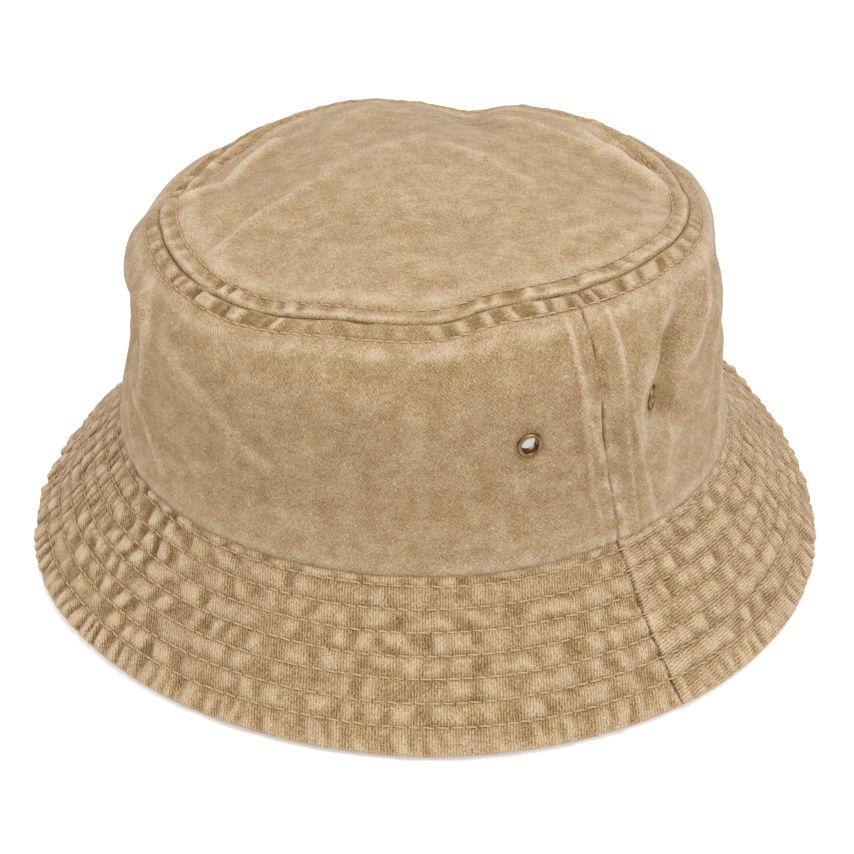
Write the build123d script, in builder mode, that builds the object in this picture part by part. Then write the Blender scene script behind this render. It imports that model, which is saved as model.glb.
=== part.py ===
"""Cloth bucket hat: a round top and a two-panel side band, a stitched brim and four eyelets.

The origin is the middle of the brim's rim, on the surface the hat stands on. +Z is up, the front
of the hat is -Y and the wearer's left is +X. Every length is in millimetres, every angle in degrees.
"""

import os
from math import asin, cos, degrees, radians, sin, sqrt, tan

from build123d import *

# Cloth
head_radius = 90.7  # inside of the sweatband, for a 57 cm head
cloth = 0.6  # one ply of cotton twill
interlining = 0.5  # stiffener inside the brim
tape = 0.5  # herringbone tape over the crown seam
ply_gap = 0.05  # air between two plies that are sewn together
seam_gap = 0.1  # open line where two panels meet

# Crown
side_ease = 0.25  # room between the brim's turned-up allowance and the side band
side_lean = 2.0  # the side band leans in by this much
side_straight = 46.0  # straight height of the side band
shoulder_radius = 28.2
shoulder_end = 60.0  # slope of the side band's outward normal at the crown seam
dome_radius = 300.0

# Brim
brim_width = 46.5  # along the slope, from the join to the start of the rolled rim
brim_slope = 48.0  # below the horizontal
brim_turn = 4.0  # the brim's seams are this far round from the side band's
allowance = 8.0  # turned up inside the crown
rim_flat = 0.1  # height by which the hat's weight flattens the rolled rim
interlining_start = 2.5
interlining_stop = 1.0
hem_gap = 0.1

# Sweatband and seam tape
sweatband_width = 30.0
sweatband_stitch_height = 2.0
tape_reach = 6.0  # each side of the crown seam

# Stitching
thread_radius = 0.26
thread_clearance = 0.03
brim_rows = 7
first_row = 3.7
row_pitch = 6.0
crown_row_reach = 5.0  # each side of the crown seam

# Eyelets
eyelet_height = 39.0
eyelet_spread = 13.0  # each side of a side seam
eyelet_hole = 2.3
barrel_radius = 2.65
flange_radius = 3.65
flange_thickness = 0.6
flange_round = 0.28
washer_radius = 4.15
washer_thickness = 0.3
washer_stand_off = 0.15  # lets a flat washer clear the curved cloth
lip_radius = 3.25
lip_thickness = 0.3
metal_gap = 0.02
cloth_hole_clearance = 0.05

# Sizes that follow
ply_step = cloth + ply_gap
under_radius = head_radius + cloth / 2 + ply_step
upper_radius = under_radius + ply_step
side_radius = upper_radius + ply_step + side_ease
stack = cloth + interlining + 2 * ply_gap  # from the middle of the upper ply to the under ply
roll_radius = stack / 2
groove_radius = thread_radius + thread_clearance

slope_cos = cos(radians(brim_slope))
slope_sin = sin(radians(brim_slope))
down_brim = Vector(slope_cos, -slope_sin)
off_brim = Vector(slope_sin, slope_cos)

roll_height = roll_radius + cloth / 2 - rim_flat
join_height = roll_height + roll_radius * slope_cos + brim_width * slope_sin
brim_corner = Vector(upper_radius, join_height)
under_drop = stack / slope_cos - ply_step * tan(radians(brim_slope))
under_corner = Vector(under_radius, join_height - under_drop)
under_width = brim_width + ply_step / slope_cos - stack * tan(radians(brim_slope)) - hem_gap

side_foot = Vector(side_radius, join_height)
up_side = Vector(-sin(radians(side_lean)), cos(radians(side_lean)))
off_side = Vector(cos(radians(side_lean)), sin(radians(side_lean)))
shoulder_centre = side_foot + up_side * side_straight - off_side * shoulder_radius


def on_arc(centre, radius, angle):
    """The point of an arc at an angle above the horizontal."""
    return centre + Vector(cos(radians(angle)), sin(radians(angle))) * radius


crown_seam = on_arc(shoulder_centre, shoulder_radius, shoulder_end)
dome_centre = Vector(0, crown_seam.Y - sqrt(dome_radius**2 - crown_seam.X**2))
dome_edge = 90 - degrees(asin(crown_seam.X / dome_radius))


def on_shoulder(below_seam, depth):
    """A point below the crown seam, at a depth inside the side band's middle."""
    angle = shoulder_end - degrees(below_seam / shoulder_radius)
    return on_arc(shoulder_centre, shoulder_radius - depth, angle)


def on_dome(above_seam, depth):
    """A point inward of the crown seam, at a depth inside the top's middle."""
    angle = dome_edge + degrees(above_seam / dome_radius)
    return on_arc(dome_centre, dome_radius - depth, angle)


def on_brim(row, height):
    """The place of a stitch row, at a height above the middle of the brim's upper ply."""
    return brim_corner + down_brim * (first_row + row * row_pitch) + off_brim * height


def save(part, name):
    """Write one piece to its own file."""
    part.label = name
    export_step(part, f"parts/{name}.step")


def save_halves(profile, name, turn=0, holes=()):
    """Turn a profile into a front and a back panel that meet at the side seams."""
    along_x = Vector(cos(radians(turn)), sin(radians(turn)), 0)
    to_front = Vector(sin(radians(turn)), -cos(radians(turn)), 0)
    seams = Plane(origin=(0, 0, 0), x_dir=along_x, z_dir=to_front)
    for half, keep in (("front", Keep.TOP), ("back", Keep.BOTTOM)):
        toward = 1 if half == "front" else -1
        with BuildPart() as panel:
            add(profile)
            revolve(axis=Axis.Z)
            split(bisect_by=seams.offset(toward * seam_gap / 2), keep=keep)
            for plane in holes:
                with BuildSketch(plane):
                    Circle(barrel_radius + cloth_hole_clearance)
                extrude(amount=2 * cloth, both=True, mode=Mode.SUBTRACT)
        save(panel.part, f"{name}_{half}")


def save_rings(points, name):
    """Lay one ring of thread through each point of the profile."""
    with BuildPart() as thread:
        with BuildSketch(Plane.XZ):
            with Locations(*points):
                Circle(thread_radius)
        revolve(axis=Axis.Z)
    save(thread.part, name)


def eyelet_plane(azimuth):
    """A plane on the outside of the side band, with its normal along an eyelet's axis."""
    face = side_foot + up_side * eyelet_height + off_side * (cloth / 2)
    around = Vector(cos(radians(azimuth)), sin(radians(azimuth)), 0)
    middle = around * face.X + Vector(0, 0, face.Y)
    normal = around * off_side.X + Vector(0, 0, off_side.Y)
    return Plane(origin=middle, z_dir=normal)


os.makedirs("parts", exist_ok=True)

eyelet_azimuths = {
    "left_front": -eyelet_spread,
    "left_back": eyelet_spread,
    "right_front": 180 + eyelet_spread,
    "right_back": 180 - eyelet_spread,
}
eyelet_planes = {place: eyelet_plane(turn) for place, turn in eyelet_azimuths.items()}

# Top panel, with a groove for the upper row of stitches beside the crown seam
gap_angle = degrees(seam_gap / 2 / dome_radius)
with BuildPart() as top_panel:
    with BuildSketch(Plane.XZ):
        with BuildLine():
            CenterArc(dome_centre, dome_radius, dome_edge + gap_angle, 90 - dome_edge - gap_angle)
        trace(line_width=cloth)
        with Locations(on_dome(crown_row_reach, -cloth / 2)):
            Circle(groove_radius, mode=Mode.SUBTRACT)
    revolve(axis=Axis.Z)
save(top_panel.part, "top_panel")

# Side band: straight below, turning over at the shoulder to meet the top
shoulder_turn = shoulder_end - side_lean - degrees(seam_gap / shoulder_radius)
with BuildSketch(Plane.XZ) as side_profile:
    with BuildLine():
        wall = PolarLine(side_foot, side_straight, 90 + side_lean)
        JernArc(wall @ 1, wall % 1, shoulder_radius, shoulder_turn)
    trace(line_width=cloth)
    with Locations(on_shoulder(crown_row_reach, -cloth / 2)):
        Circle(groove_radius, mode=Mode.SUBTRACT)
save_halves(side_profile.sketch, "side_panel", holes=eyelet_planes.values())

# Brim, upper ply: turned up inside the crown, down the slope and rolled over at the rim, where
# it is cut level at Z = 0 (the sketch's own XZ plane is that level)
with BuildSketch(Plane.XZ) as upper_profile:
    with BuildLine():
        Line(brim_corner + Vector(0, allowance), brim_corner)
        slope = Line(brim_corner, brim_corner + down_brim * brim_width)
        JernArc(slope @ 1, slope % 1, roll_radius, -180)
    trace(line_width=cloth)
    with Locations(*[on_brim(row, cloth / 2) for row in range(brim_rows)]):
        Circle(groove_radius, mode=Mode.SUBTRACT)
    split(bisect_by=Plane.XZ, keep=Keep.BOTTOM)
save_halves(upper_profile.sketch, "brim_upper", turn=brim_turn)

# Brim, under ply: turned up behind the sweatband, and butted against the rolled rim
with BuildSketch(Plane.XZ) as under_profile:
    with BuildLine():
        Line(under_corner + Vector(0, allowance), under_corner)
        Line(under_corner, under_corner + down_brim * under_width)
    trace(line_width=cloth)
    with Locations(*[on_brim(row, -stack - cloth / 2) for row in range(brim_rows)]):
        Circle(groove_radius, mode=Mode.SUBTRACT)
save_halves(under_profile.sketch, "brim_under", turn=brim_turn)

# Brim, interlining between the plies
middle_start = brim_corner - off_brim * roll_radius
with BuildSketch(Plane.XZ) as interlining_profile:
    with BuildLine():
        Line(
            middle_start + down_brim * interlining_start,
            middle_start + down_brim * (brim_width - interlining_stop),
        )
    trace(line_width=interlining)
save_halves(interlining_profile.sketch, "brim_interlining", turn=brim_turn)

# Sweatband, a straight band inside the head opening, sewn near its lower edge
stitch_place = Vector(head_radius, join_height + sweatband_stitch_height)
with BuildPart() as sweatband:
    with BuildSketch(Plane.XZ):
        with Locations((head_radius + cloth / 2, join_height + sweatband_width / 2)):
            Rectangle(cloth, sweatband_width)
        with Locations(stitch_place):
            Circle(groove_radius, mode=Mode.SUBTRACT)
    revolve(axis=Axis.Z)
save(sweatband.part, "sweatband")

# Tape across the inside of the crown seam
tape_depth = cloth / 2 + ply_gap + tape
tape_low = on_shoulder(tape_reach, tape_depth)
tape_high = on_dome(tape_reach, tape_depth)
with BuildPart() as crown_seam_tape:
    with BuildSketch(Plane.XZ):
        with BuildLine():
            Line(tape_low, tape_high)
        trace(line_width=tape)
    revolve(axis=Axis.Z)
save(crown_seam_tape.part, "crown_seam_tape")

# Thread: each seam has a ring on the face and a ring on the back of the cloth
along_tape = (tape_high - tape_low).normalized()
behind_tape = Vector(-along_tape.Y, along_tape.X) * (tape / 2 + groove_radius)
tape_margin = tape_reach - crown_row_reach
save_rings(
    [on_dome(crown_row_reach, -cloth / 2), tape_high - along_tape * tape_margin + behind_tape],
    "crown_stitch_upper",
)
save_rings(
    [on_shoulder(crown_row_reach, -cloth / 2), tape_low + along_tape * tape_margin + behind_tape],
    "crown_stitch_lower",
)
for row in range(brim_rows):
    save_rings(
        [on_brim(row, cloth / 2), on_brim(row, -stack - cloth / 2)],
        f"brim_stitch_row_{row + 1}",
    )
save_rings([stitch_place], "sweatband_stitch")

# Eyelets: a flange outside, a barrel through the cloth, and a lip turned over a washer inside
washer_top = -cloth - washer_stand_off
lip_top = washer_top - washer_thickness - metal_gap
barrel_end = lip_top - lip_thickness
for place, plane in eyelet_planes.items():
    with BuildPart() as eyelet:
        with BuildSketch(plane.offset(metal_gap)):
            Circle(flange_radius)
        extrude(amount=flange_thickness)
        with BuildSketch(plane.offset(barrel_end)):
            Circle(barrel_radius)
        extrude(amount=-barrel_end + flange_thickness / 2)
        with BuildSketch(plane.offset(barrel_end)):
            Circle(lip_radius)
        extrude(amount=lip_thickness)
        with BuildSketch(plane.offset(barrel_end)):
            Circle(eyelet_hole)
        extrude(amount=-barrel_end + 2 * flange_thickness, mode=Mode.SUBTRACT)
        outer_face = eyelet.faces().sort_by(Axis(plane.origin, plane.z_dir))[-1]
        fillet(outer_face.edges(), radius=flange_round)
    save(eyelet.part, f"eyelet_{place}")

    with BuildPart() as washer:
        with BuildSketch(plane.offset(washer_top)):
            Circle(washer_radius)
            Circle(barrel_radius + metal_gap, mode=Mode.SUBTRACT)
        extrude(amount=-washer_thickness)
    save(washer.part, f"eyelet_washer_{place}")
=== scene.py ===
"""Washed cotton bucket hat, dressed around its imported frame.

The shape code works in millimetres and in turns around the crown: turn 0 is the wearer's left (+X),
where a side seam is, and turns grow towards the back (+Y). View angles are in degrees from the side
that faces the camera, positive towards the picture's right. "along" is the distance down the crown
from its seam, negative on the top, and "out" is the distance down the brim from the join.
"""

import math

import bpy
import numpy as np
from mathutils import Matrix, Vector


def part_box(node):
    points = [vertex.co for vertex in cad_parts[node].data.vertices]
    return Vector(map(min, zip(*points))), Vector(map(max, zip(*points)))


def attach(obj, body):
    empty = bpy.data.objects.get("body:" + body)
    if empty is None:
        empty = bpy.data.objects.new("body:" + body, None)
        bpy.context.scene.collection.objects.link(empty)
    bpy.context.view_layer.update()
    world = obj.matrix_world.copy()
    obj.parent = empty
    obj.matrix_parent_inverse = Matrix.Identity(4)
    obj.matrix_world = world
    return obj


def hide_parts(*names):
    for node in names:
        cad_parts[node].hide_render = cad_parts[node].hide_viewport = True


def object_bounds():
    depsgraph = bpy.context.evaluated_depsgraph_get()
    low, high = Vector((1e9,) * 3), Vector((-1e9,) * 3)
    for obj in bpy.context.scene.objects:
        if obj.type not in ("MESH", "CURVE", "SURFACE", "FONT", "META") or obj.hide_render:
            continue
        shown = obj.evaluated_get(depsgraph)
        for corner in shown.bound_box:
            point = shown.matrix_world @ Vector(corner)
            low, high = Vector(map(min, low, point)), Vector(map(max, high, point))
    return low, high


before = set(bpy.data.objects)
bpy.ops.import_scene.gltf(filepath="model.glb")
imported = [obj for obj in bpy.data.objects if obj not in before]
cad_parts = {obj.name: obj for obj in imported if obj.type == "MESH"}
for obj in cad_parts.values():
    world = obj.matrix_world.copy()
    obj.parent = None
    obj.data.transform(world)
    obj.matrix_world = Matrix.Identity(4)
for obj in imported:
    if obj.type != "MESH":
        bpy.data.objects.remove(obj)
cad_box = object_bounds()

MM = 0.001
TAU = 2 * math.pi
CAMERA_AZIMUTH = 60.0
CAMERA_ELEVATION = 30.56
CAMERA_DISTANCE = 600.0
CAMERA_LENS = 80.9
VIEW_TURN = CAMERA_AZIMUTH - 90.0  # the turn, in degrees, that faces the camera

# ---- sizes read from the frame


def corners_mm(cad_node):
    """A CAD node's lowest and highest corners, in millimetres."""
    low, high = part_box(cad_node)
    return np.array(low) / MM, np.array(high) / MM


side_low, side_high = corners_mm("side_panel_front")
band_low, band_high = corners_mm("sweatband")
JOIN_RADIUS = side_high[0]
JOIN_HEIGHT = side_low[2]
SEAM_RADIUS, _, TOP_HEIGHT = corners_mm("top_panel")[1]
SEAM_HEIGHT = side_high[2]
RIM_RADIUS = corners_mm("brim_upper_front")[1][0]
BAND_DEPTH = JOIN_RADIUS - band_high[0]  # the sweatband's outer face, inside the crown's

BRIM_ROWS = 7
row_corners = [corners_mm(f"brim_stitch_row_{number}")[1] for number in range(1, BRIM_ROWS + 1)]
row_radius = [corner[0] for corner in row_corners]
row_height = [corner[2] for corner in row_corners]

SIDE_SEAMS = (0.0, math.pi)
BRIM_TURN = math.radians(4.0)  # the brim's seams are this far round from the side band's
HALVES = {"back": 0.0, "front": -math.pi}  # the turn at which each half starts

# Cloth thicknesses
CROWN_CLOTH = 0.7
BRIM_CLOTH = 0.55
BAND_CLOTH = 0.6
TAPE_CLOTH = 0.45
BRIM_STACK = 1.9  # upper face to lower face of the brim
ROLL = BRIM_STACK / 2
BRIM_SLOPE = math.atan2(row_height[0] - row_height[-1], row_radius[-1] - row_radius[0])
BRIM_WIDTH = (RIM_RADIUS - ROLL * 0.5 - JOIN_RADIUS) / math.cos(BRIM_SLOPE)
ROWS_AT = [(r - JOIN_RADIUS) / math.cos(BRIM_SLOPE) - 0.2 for r in row_radius]

# The side band: a wall that leans in, then a shoulder that turns over to the crown seam
WALL_LEAN = math.radians(2.0)
SHOULDER_END = math.radians(60.0)
SHOULDER_RADIUS = 28.5
SHOULDER_LENGTH = SHOULDER_RADIUS * (SHOULDER_END - WALL_LEAN)
WALL_LENGTH = 46.0
SIDE_LENGTH = SHOULDER_LENGTH + WALL_LENGTH

# Seams and stitches
CROWN_ROW = 5.0  # topstitching, each side of the crown seam
ALLOWANCE = 6.5  # reach of the pressed-open seam allowances
SEAM_ARC = 92  # radius at which distances around from a side seam are measured
THREAD_RADIUS = 0.27
STITCH_ARCH = 0.22
BRIM_PITCH, CROWN_PITCH, BAND_PITCH = 3.7, 3.3, 3.4

# Eyelets
EYELET_HOLE = 2.3
FLANGE = 3.65
CLOTH_HOLE = 2.9  # radius cut from the cloth, hidden under the flange
# How far the crushed cloth has carried an eyelet round and up
EYELET_SHIFT = {"left_front": (1.4, -0.8), "left_back": (2.0, 0.3)}

# Flat pattern pieces, which the weave lies on
SIDE_PATTERN_RADIUS = 90
TAPE_PATTERN_RADIUS = 80
BRIM_PATTERN_RADIUS = 150
BRIM_PATTERN_SWING = 0.69  # a turn on the brim, as a share of it on the pattern's wider arc
TOP_GRAIN = 0.7  # how far round the top's grain is turned, in radians

# How finely the sheets are divided: columns are this far apart near a panel's ends and elsewhere
SIDE_SPACING, BRIM_SPACING, LINING_SPACING = (0.4, 0.85), (0.35, 0.62), (0.7, 0.85)
SEAM_REACH = 11.0  # how far from a panel's ends its columns are close together
TOP_COLUMNS, BAND_COLUMNS, TAPE_COLUMNS = 620, 360, 420
SIDE_LINES, TOP_LINES, BRIM_LINES, LINING_LINES, BAND_LINES, TAPE_LINES = 66, 48, 80, 60, 34, 13
NEAR_REACH = 9.0
NEAR_SEAM = np.arange(0.12, NEAR_REACH, 0.42)  # close lines beside the crown seam

# ---- numeric helpers


def smooth(x, start, end):
    """0 below start, 1 above end, and an S curve between."""
    t = np.clip((np.asarray(x, float) - start) / (end - start), 0, 1)
    return t * t * (3 - 2 * t)


def plateau(x, start, full, fading, end):
    """Rises from start to full, and falls again from fading to end."""
    return smooth(x, start, full) * (1 - smooth(x, fading, end))


def bump(x, width):
    """A rounded ridge of height 1 at x = 0."""
    return np.exp(-((np.asarray(x, float) / width) ** 2))


def noise(u, v, cells_u, cells_v, seed):
    """Smooth value noise from -1 to 1; u and v run from 0 to 1, and u wraps round."""
    grid = np.random.default_rng(seed).uniform(-1, 1, (cells_v + 4, cells_u))
    x = np.asarray(u, float) * cells_u
    y = np.clip(np.asarray(v, float), 0, 1) * cells_v + 1
    x, y = np.broadcast_arrays(x, y)
    column, line = np.floor(x).astype(int), np.floor(y).astype(int)
    fx, fy = x - column, y - line

    def weights(f):
        """Cubic B-spline weights of the four nearest cells."""
        return (
            (1 - f) ** 3 / 6,
            (3 * f**3 - 6 * f**2 + 4) / 6,
            (-3 * f**3 + 3 * f**2 + 3 * f + 1) / 6,
            f**3 / 6,
        )

    total = np.zeros(x.shape)
    for j, wy in enumerate(weights(fy)):
        for i, wx in enumerate(weights(fx)):
            rows = np.clip(line + j - 1, 0, cells_v + 3)
            total += grid[rows, (column + i - 1) % cells_u] * wx * wy
    return total * 1.9  # the spline flattens the peaks


def ring_noise(share, cells, seed):
    """Noise that changes only around the hat."""
    return noise(share, 0.5, cells, 1, seed)


def patch_noise(x, y, span, cells, seed):
    """Noise over a square patch, span millimetres wide, about the origin."""
    return noise(0.5 + x / span, 0.5 + y / span, cells, cells, seed)


def seam_noise(number, along, cells, seed, offset=0.0):
    """Noise down a side seam, different for each seam."""
    return noise(number * 0.3 + offset, along / SIDE_LENGTH, 3, cells, seed)


def cells_around(share, count, seed):
    """Bumps spaced almost evenly around the hat, from -1 to 1."""
    jitter = ring_noise(share, int(0.9 * count), seed)
    return np.sin(TAU * (share * count + 0.5 * jitter))


def wrapped(angle):
    """An angle in radians, brought to -pi to pi."""
    return (angle + math.pi) % TAU - math.pi


def view_angle(turn):
    """Degrees from the camera's side, -180 to 180, for a turn in radians."""
    return (np.degrees(turn) - VIEW_TURN + 180) % 360 - 180


def around_hat(table, turn):
    """A smooth closed curve through a table of (view angle, value) points, at a turn."""
    angles, values = np.array(table, float).T
    fine = np.arange(-180, 180, 1.0)
    line = np.interp(fine, angles, values, period=360)
    kernel = bump(np.arange(-12, 13), 5.0)
    kernel /= kernel.sum()
    soft = np.convolve(np.concatenate([line[-12:], line, line[:12]]), kernel, "valid")
    return np.interp(view_angle(turn), fine, soft, period=360)


def ring_points(radius, turn, height):
    """Points in space from cylindrical places."""
    return np.stack([radius * np.cos(turn), radius * np.sin(turn), height], -1)


def flat_points(x, y):
    """Points on a cloth's flat pattern."""
    return np.stack([x, y, 0 * x], -1)


# ---- how this hat is crushed

# The crown seam's height above a level ring
SEAM_LIFT = (
    (-118, -5.6), (-104, -10), (-92, -3.5), (-82, -1.6), (-67, -4), (-42, -5), (-28, -3.2),
    (-18, -0.6), (4, -0.8), (13, 3.8), (30, 3.5), (55, 3.2), (75, 1.5), (90, -1), (106, 0.2),
    (122, 0.8), (140, 1.5), (158, 0.5), (168, -4.4), (-178, -0.8), (-162, 1.4), (-135, -1.8),
)
# How far the brim's rim stands out from a round one
RIM_REACH = (
    (0, 2.8), (38, 3.2), (60, 1.6), (80, 0), (95, -0.4), (120, 0.5), (180, 0), (-130, 0.5),
    (-108, -2.6), (-90, -1.4), (-65, 0.4), (-45, 0.1), (-20, 1),
)
# How far it turns up
RIM_TURN_UP = (
    (0, -0.6), (50, -0.4), (80, 0.4), (92, 2), (104, 4.4), (114, 7.4), (124, 12.6), (140, 6),
    (160, 2.5), (180, 1), (-150, 2), (-120, 3.8), (-90, 0),
)
# Creases on the side band: view angle and height above the join at each end, width, height
SIDE_CREASES = (
    (-66, 62, -58, 50, 1.6, 1.5),
    (-58, 50, -64, 22, 1.6, 1.4),
    (-72, 52, -77, 26, 3.6, -2.4),
    (-118, 49, -69, 46, 6, -5),
    (-84, 46, -86, 22, 8, -2.4),
    (-70, 30, -52, 10, 1.8, 0.9),
    (-76, 22, -62, 2, 2.2, 0.8),
    (-54, 52, -42, 44, 1.6, 0.8),
    (-42, 44, -28, 28, 1.5, 0.8),
    (-44, 52, -26, 33, 3.6, -0.5),
    (-55, 42, -38, 24, 4, -0.6),
    (51, 64, 40, 44, 1.5, 1.3),
    (39, 54, 38.5, 26, 1.8, 1.5),
    (47, 56, 48, 28, 3.8, -4.4),
    (70, 67, 60, 56, 1.8, 1.6),
    (60, 56, 52, 44, 1.6, 1.4),
    (62, 68, 50, 56, 2.2, -1),
    (66, 50, 58, 24, 2.4, 1),
    (72, 42, 65, 4, 2, 1.4),
    (78, 34, 74, 12, 3.6, -0.9),
    (88, 40, 86, 14, 8, -1.6),
    (95, 62, 88, 34, 14, -3.4),
    (47, 30, 46, 6, 1.6, 0.7),
    (53, 28, 51, 4, 2, -0.5),
    (130, 60, 118, 34, 3, 1.4),
    (150, 50, 160, 20, 6, -1.8),
    (172, 60, 164, 34, 2.2, 1),
    (-130, 56, -118, 30, 3, 1.4),
    (-150, 40, -140, 14, 5, -1.2),
    (-162, 30, -172, 6, 2.2, 0.9),
    (14, 60, 20, 46, 2.4, 0.35),
    (-20, 62, -12, 50, 2.6, 0.3),
)
DEGREE = 1.6  # millimetres around the crown in a degree
# The same creases with their view angles as distances around, in millimetres
WIDE_SIDE_CREASES = tuple((DEGREE * a, b, DEGREE * c, d, w, h) for a, b, c, d, w, h in SIDE_CREASES)
# Creases on the top: picture-right and away distance at each end, width, height
TOP_CREASES = (
    (-60, -34, -38, -12, 1.6, 0.8),
    (-38, -12, -22, 8, 1.9, 0.75),
    (-22, 8, 2, 26, 2.2, 0.4),
    (-46, -44, -24, -14, 5, -0.7),
    (-82, -12, -62, 14, 2.2, 2.7),
    (-62, 14, -46, 40, 2.4, 2.2),
    (-69, 28, -54, 50, 5, -2.8),
    (79, -6, 68, 6, 2.4, 2.4),
    (68, 6, 56, 26, 2.4, 2.7),
    (56, 26, 46, 42, 3, 1.5),
    (68, 18, 57, 40, 3.6, -3.6),
    (20, 52, 40, 36, 1.9, 1),
    (40, 36, 54, 22, 2, 0.9),
    (12, 38, 30, 46, 2.2, 0.5),
    (4, 18, 18, 6, 2.2, 1),
    (18, 6, 30, -10, 2.6, 0.8),
    (14, 66, 20, 36, 7, -2.4),
    (-30, 40, -10, 62, 8, 1.4),
    (-34, -30, 20, -40, 9, -0.6),
    (30, -52, 52, -28, 3, 0.4),
    (-70, -26, -56, -44, 2.4, 0.7),
)
CREASE_BEND = 1.5  # how far a crease wanders from its straight run
CREASE_SPAN = 300  # a patch that takes in the whole crown, for the noise that bends creases
TOP_SPAN = 180  # one that takes in the top
WALL_SPAN = 75  # a height that takes in the side band
LIFT_FADE = (14, 68)  # heights above the join between which the seam's lift fades in
CREST_WIDTH = 1.25  # width of the pale line along a crease: rubbed wear with a painted highlight


def crease_sum(x, y, creases):
    """Ridges and hollows along gently bent runs, which fade at their ends."""
    total = np.zeros(np.broadcast(x, y).shape)
    bend_x, bend_y = (CREASE_BEND * patch_noise(x, y, CREASE_SPAN, 24, seed) for seed in (31, 32))
    x, y = x + bend_x, y + bend_y
    for x0, y0, x1, y1, width, height in creases:
        run = math.hypot(x1 - x0, y1 - y0)
        ux, uy = (x1 - x0) / run, (y1 - y0) / run
        along = (x - x0) * ux + (y - y0) * uy
        across = -(x - x0) * uy + (y - y0) * ux
        spread = width * (1 + 0.35 * np.clip(np.abs(along - run / 2) / run, 0, 1.5))
        ease = 1.5 * width + 1.0
        total += height * bump(across, spread) * plateau(along, -ease, ease, run - ease, run + ease)
    return total


def crest_share(x, y, creases):
    """How near a point is to the crest of a crease, from 0 to about 1: crests are rubbed pale, with a
    painted highlight on top of the wear.
    """
    total = np.zeros(np.broadcast(x, y).shape)
    for x0, y0, x1, y1, _, height in creases:
        if height > 0:
            line = ((x0, y0, x1, y1, CREST_WIDTH, min(height, 1.3) / 1.3),)
            total = np.maximum(total, crease_sum(x, y, line))
    return total * (0.75 + 0.6 * patch_noise(x, y, CREASE_SPAN, 90, 33))


def seam_lift(turn):
    return around_hat(SEAM_LIFT, turn)


def seam_drift(turn, along):
    """How far round, in radians, the cloth beside a side seam has shifted: it bends at its foot."""
    above_join = SIDE_LENGTH - along
    shift = 9.4 * (1 - smooth(above_join, -12, 60)) + 0.4 * smooth(along, 6, 16)
    return sum(shift * bump(wrapped(turn - seam), 0.45) for seam in SIDE_SEAMS) / JOIN_RADIUS


def side_buckle(turn, above_join):
    """How far the side band is pushed out by folds, dents and its general unevenness."""
    share = turn / TAU
    up_share = above_join / WALL_SPAN
    view = view_angle(turn)
    rear = smooth(np.abs(view), 60, 100)
    # Creases and three scales of unevenness, which die away at the join and the crown seam
    buckle = crease_sum(view, above_join, SIDE_CREASES)
    buckle += (0.3 + 0.5 * rear) * noise(share, up_share, 22, 3, 3) * smooth(above_join, 2, 24)
    buckle += (0.14 + 0.2 * rear) * noise(share, up_share, 56, 7, 4) * smooth(above_join, 0, 16)
    buckle += 0.07 * noise(share, up_share, 190, 24, 5)
    buckle *= plateau(above_join, -1, 9, 58, 69.5)
    # A waist all round, bulging shoulders at the picture's left and right, and a dent on the right
    buckle -= plateau(above_join, 6, 22, 30, 56)
    shoulder = 3.2 * bump(view + 116, 20) + 2.6 * bump(view - 108, 18)
    buckle += shoulder * bump(above_join - 61, 8) * (1 - smooth(above_join, 63, 69.5))
    dent = 2.4 * bump(view - 84, 13) * bump(above_join - 45, 18)
    buckle -= dent * plateau(above_join, 0, 12, 59, 69.5)
    # A roll of cloth at the foot, pinched by the join's stitches
    base_roll = 0.4 * bump(above_join - 2.4, 2.2)
    pinch = 0.22 * ring_noise(share, 210, 9) * bump(above_join - 1.5, 2.6)
    return buckle + base_roll + pinch


def top_wave(turn, radius):
    """How far the top is lifted by its folds, dents and general unevenness."""
    right, away = picture_place(turn, radius)
    share = radius / SEAM_RADIUS
    wave = crease_sum(right, away, TOP_CREASES)
    wave += 0.7 * patch_noise(right, away, TOP_SPAN, 8, 6) * (1 - share**6)
    wave += 0.2 * patch_noise(right, away, TOP_SPAN, 26, 7) * (1 - share**8)
    return wave * (1 - 0.6 * smooth(share, 0.86, 1.0))


def picture_place(turn, radius):
    """A place on the top as distances to the picture's right and away from the camera."""
    view = np.radians(view_angle(turn))
    return radius * np.sin(view), -radius * np.cos(view)


def crown_base(turn, along):
    """The crushed crown's outer face."""
    turn, along = np.broadcast_arrays(turn, along)
    lift = seam_lift(turn)

    # Side band
    down = np.clip(along, 0, SIDE_LENGTH)
    slope = SHOULDER_END - np.clip(down, 0, SHOULDER_LENGTH) / SHOULDER_RADIUS
    centre_radius = SEAM_RADIUS - SHOULDER_RADIUS * math.cos(SHOULDER_END)
    centre_height = SEAM_HEIGHT - SHOULDER_RADIUS * math.sin(SHOULDER_END)
    wall = np.clip(down - SHOULDER_LENGTH, 0, WALL_LENGTH)
    side_radius = centre_radius + SHOULDER_RADIUS * np.cos(slope) + wall * math.sin(WALL_LEAN)
    side_height = centre_height + SHOULDER_RADIUS * np.sin(slope) - wall * math.cos(WALL_LEAN)
    above_join = side_height - JOIN_HEIGHT
    side_height += lift * smooth(above_join, *LIFT_FADE)
    buckle = side_buckle(turn, above_join)
    side_radius += buckle * np.cos(slope)
    side_height += buckle * np.sin(slope)
    side_height += top_wave(turn, SEAM_RADIUS) * (1 - smooth(down, 0, 16))

    # Top
    radius = SEAM_RADIUS + np.clip(along, -SEAM_RADIUS, 0)
    share = radius / SEAM_RADIUS
    dome = (TOP_HEIGHT - SEAM_HEIGHT) * (1 - share**2)
    top_height = SEAM_HEIGHT + dome + lift * smooth(share, 0.35, 1.0) + top_wave(turn, radius)

    on_side = along >= 0
    radius = np.where(on_side, side_radius, radius)
    return ring_points(radius, turn, np.where(on_side, side_height, top_height))


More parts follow.
